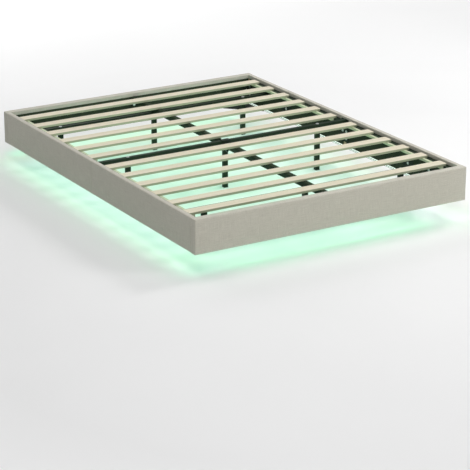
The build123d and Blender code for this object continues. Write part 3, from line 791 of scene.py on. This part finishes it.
def screw_profile(head, rise, shank, length):
    """A pan-head screw with a hexagon socket: a domed head, its recess, and a pointed shank."""
    core = 0.85 * shank
    return [
        (-length, 0.15 * shank, 0),
        (-length + 1.6 * shank, core, 0),
        (0, core, 0),
        (0.0001, head, 0),
        (0.3 * rise, head, 0),
        (0.75 * rise, 0.88 * head, 0),
        (rise, 0.6 * head, 0),
        (rise, 0.46 * head, 1),
        (0.45 * rise, 0.42 * head, 1),
    ]


def fasteners(name, node, profile_of, material):
    """All the fasteners of one CAD node as one piece, each built at its solid's seat."""
    points, faces, count = [], [], 0
    for spots in solids_of(node):
        seat, direction, *sizes = fastener_solid(spots)
        some, quads, ends = turned(seat, direction, profile_of(*sizes))
        points.append(some)
        faces += (quads + count).tolist() + (ends + count).tolist()
        count += len(some)
    made = face_outwards(put(name, np.concatenate(points), faces, smooth=False), merge=False)
    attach(made, "root")
    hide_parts(node)
    return wear(made, material)


fasteners("rail_bolt_set", "rail_bolts", bolt_profile, ZINC)
fasteners("frame_bolt_set", "frame_bolts", bolt_profile, ZINC)
fasteners("rail_screw_set", "rail_screws", screw_profile, PLASTIC)

# Finishes of the CAD nodes that stay as they are
dress(SLAT_WOOD, *(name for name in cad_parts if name.startswith("slat_")))
dress(BATTEN_WOOD, "left_battens", "right_battens")
dress(STEEL, "left_ledges", "right_ledges")
dress(STEEL, "head_cross_tube", "middle_cross_tube", "foot_cross_tube")
dress(STEEL, "rear_centre_beam", "front_centre_beam")
dress(STEEL, *(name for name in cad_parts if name.endswith("_leg")))
dress(BRACKETS, "corner_gussets", "corner_angles", "rail_plates", "joint_hangers")
dress(BRACKETS, "cross_tube_hangers", "beam_end_brackets", "centre_saddle")
dress(PLASTIC, "leg_glides", "led_controller")
dress(BOARD, *(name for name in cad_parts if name.endswith("_rail_core")))
dress(GLOW, "led_strips")

# Stage
FLOOR_SIZE = 60
bpy.ops.mesh.primitive_plane_add(size=FLOOR_SIZE, location=(0, 0, 0))
floor = bpy.context.object
floor.name = "studio_floor"
wear(floor, pale_floor())

scene = bpy.context.scene
scene.view_settings.view_transform = "Standard"
sky = bpy.data.worlds.new("studio_sky")
sky.use_nodes = True
sky.node_tree.nodes["Background"].inputs["Color"].default_value = (0.97, 0.985, 1.0, 1)
sky.node_tree.nodes["Background"].inputs["Strength"].default_value = 0.03
scene.world = sky


def soft_light(name, place, target, size, power, colour=WHITE):
    """A rectangular studio light that shines from a place towards a target."""
    lamp = bpy.data.lights.new(name, "AREA")
    lamp.shape = "RECTANGLE"
    lamp.size, lamp.size_y = size
    lamp.energy = power
    lamp.color = colour
    made = bpy.data.objects.new(name, lamp)
    made.location = place
    made.rotation_mode = "QUATERNION"
    made.rotation_quaternion = (Vector(target) - Vector(place)).to_track_quat("-Z", "Y")
    made.visible_camera = False
    scene.collection.objects.link(made)


soft_light("overhead", (0, 0, 6), (0, 0, 0), (6, 6), 156)
soft_light("key", (3.6, 0, 3.4), (0, 0, 0.1), (1.1, 1.1), 76)
soft_light("front_right", (3.4, -4.2, 2.4), (0, -0.5, 0.2), (2, 1.6), 82)
soft_light("foreground", (-3.5, -7, 5), (-2.5, -4, 0), (4, 4), 167)
soft_light("front_top", (-1.5, -3.4, 6), (-1.5, -2.9, 0), (3, 2), 64)
soft_light("far_floor", (0, 8, 5), (0, 6, 0), (8, 5), 348)


def strip_glow(name, place, size, power, colour):
    """A flat light under the frame that shines straight down, one part of the strip's glow."""
    soft_light(name, place, (place[0], place[1], 0), size, power, colour)


# The light strip's glow on the floor, which spreads under the frame and shows past each rail
strip_glow("glow_middle", (0, 0, 0.092), (1.5, 1.98), 4.06, (0.175, 1.0, 0.555))
strip_glow("glow_foot", (0, -1.045, 0.094), (1.6, 0.02), 0.35, (0.0, 1.0, 0.37))
strip_glow("glow_foot_inside", (-0.22, -0.91, 0.06), (1.06, 0.16), 0.092, (0.8, 0.9, 1.0))
strip_glow("glow_head", (0, 1.045, 0.094), (1.6, 0.02), 0.307, (0.95, 1.0, 0.52))
strip_glow("glow_head_outside", (0, 1.12, 0.04), (1.5, 0.09), 0.24, (0.0, 1.0, 0.5))
strip_glow("glow_left", (-0.8, 0, 0.094), (0.09, 2.12), 0.37, (0.12, 1.0, 0.36))
strip_glow("glow_left_inside", (-0.713, 0, 0.06), (0.14, 2.0), 0.35, (0.8, 0.8, 1.0))
strip_glow("glow_left_front", (-0.7, -0.85, 0.05), (0.2, 0.25), 0.031, (0.5, 1.0, 0.45))
strip_glow("glow_left_rear", (-0.74, 0.94, 0.06), (0.16, 0.32), 0.048, (0.8, 1.0, 0.85))
strip_glow("glow_right", (0.787, 0, 0.094), (0.02, 2.12), 0.153, (0.0, 1.0, 0.0))
strip_glow("glow_right_inside", (0.6, 0.11, 0.09), (0.36, 1.78), 0.445, (1.0, 0.66, 0.93))
strip_glow("glow_right_front", (0.7, -0.9, 0.06), (0.22, 0.34), 0.12, (1.0, 0.65, 0.95))
strip_glow("glow_right_corner", (0.775, -1.035, 0.094), (0.04, 0.04), 0.2, (0.42, 1.0, 0.46))
strip_glow("glow_left_corner", (-0.725, -0.98, 0.06), (0.2, 0.18), 0.052, (0.6, 1.0, 0.85))


# Camera, at the photograph's place and angle, with its film width in millimetres and its reach
FILM_WIDTH, FARTHEST = 36, 200


def look(place, heading, tilt, roll, lens):
    """A camera from its place, its heading to the right of +Y, its tilt down and its roll, in
    degrees."""
    heading, tilt, roll = (math.radians(angle) for angle in (heading, tilt, roll))
    across, onward = math.sin(heading) * math.cos(tilt), math.cos(heading) * math.cos(tilt)
    ahead = Vector((across, onward, -math.sin(tilt)))
    level = Vector((math.cos(heading), -math.sin(heading), 0))
    rise = level.cross(ahead)
    right = level * math.cos(roll) + rise * math.sin(roll)
    up = rise * math.cos(roll) - level * math.sin(roll)
    data = bpy.data.cameras.new("photo_view")
    data.lens, data.sensor_width = lens, FILM_WIDTH
    data.clip_end = FARTHEST
    made = bpy.data.objects.new("photo_view", data)
    rows = [(right[i], up[i], -ahead[i], place[i]) for i in range(3)]
    made.matrix_world = Matrix(rows + [(0, 0, 0, 1)])
    scene.collection.objects.link(made)
    scene.camera = made


look((-5.2479, -8.8004, 3.4103), heading=31.11, tilt=19.782, roll=0.092, lens=153.82)
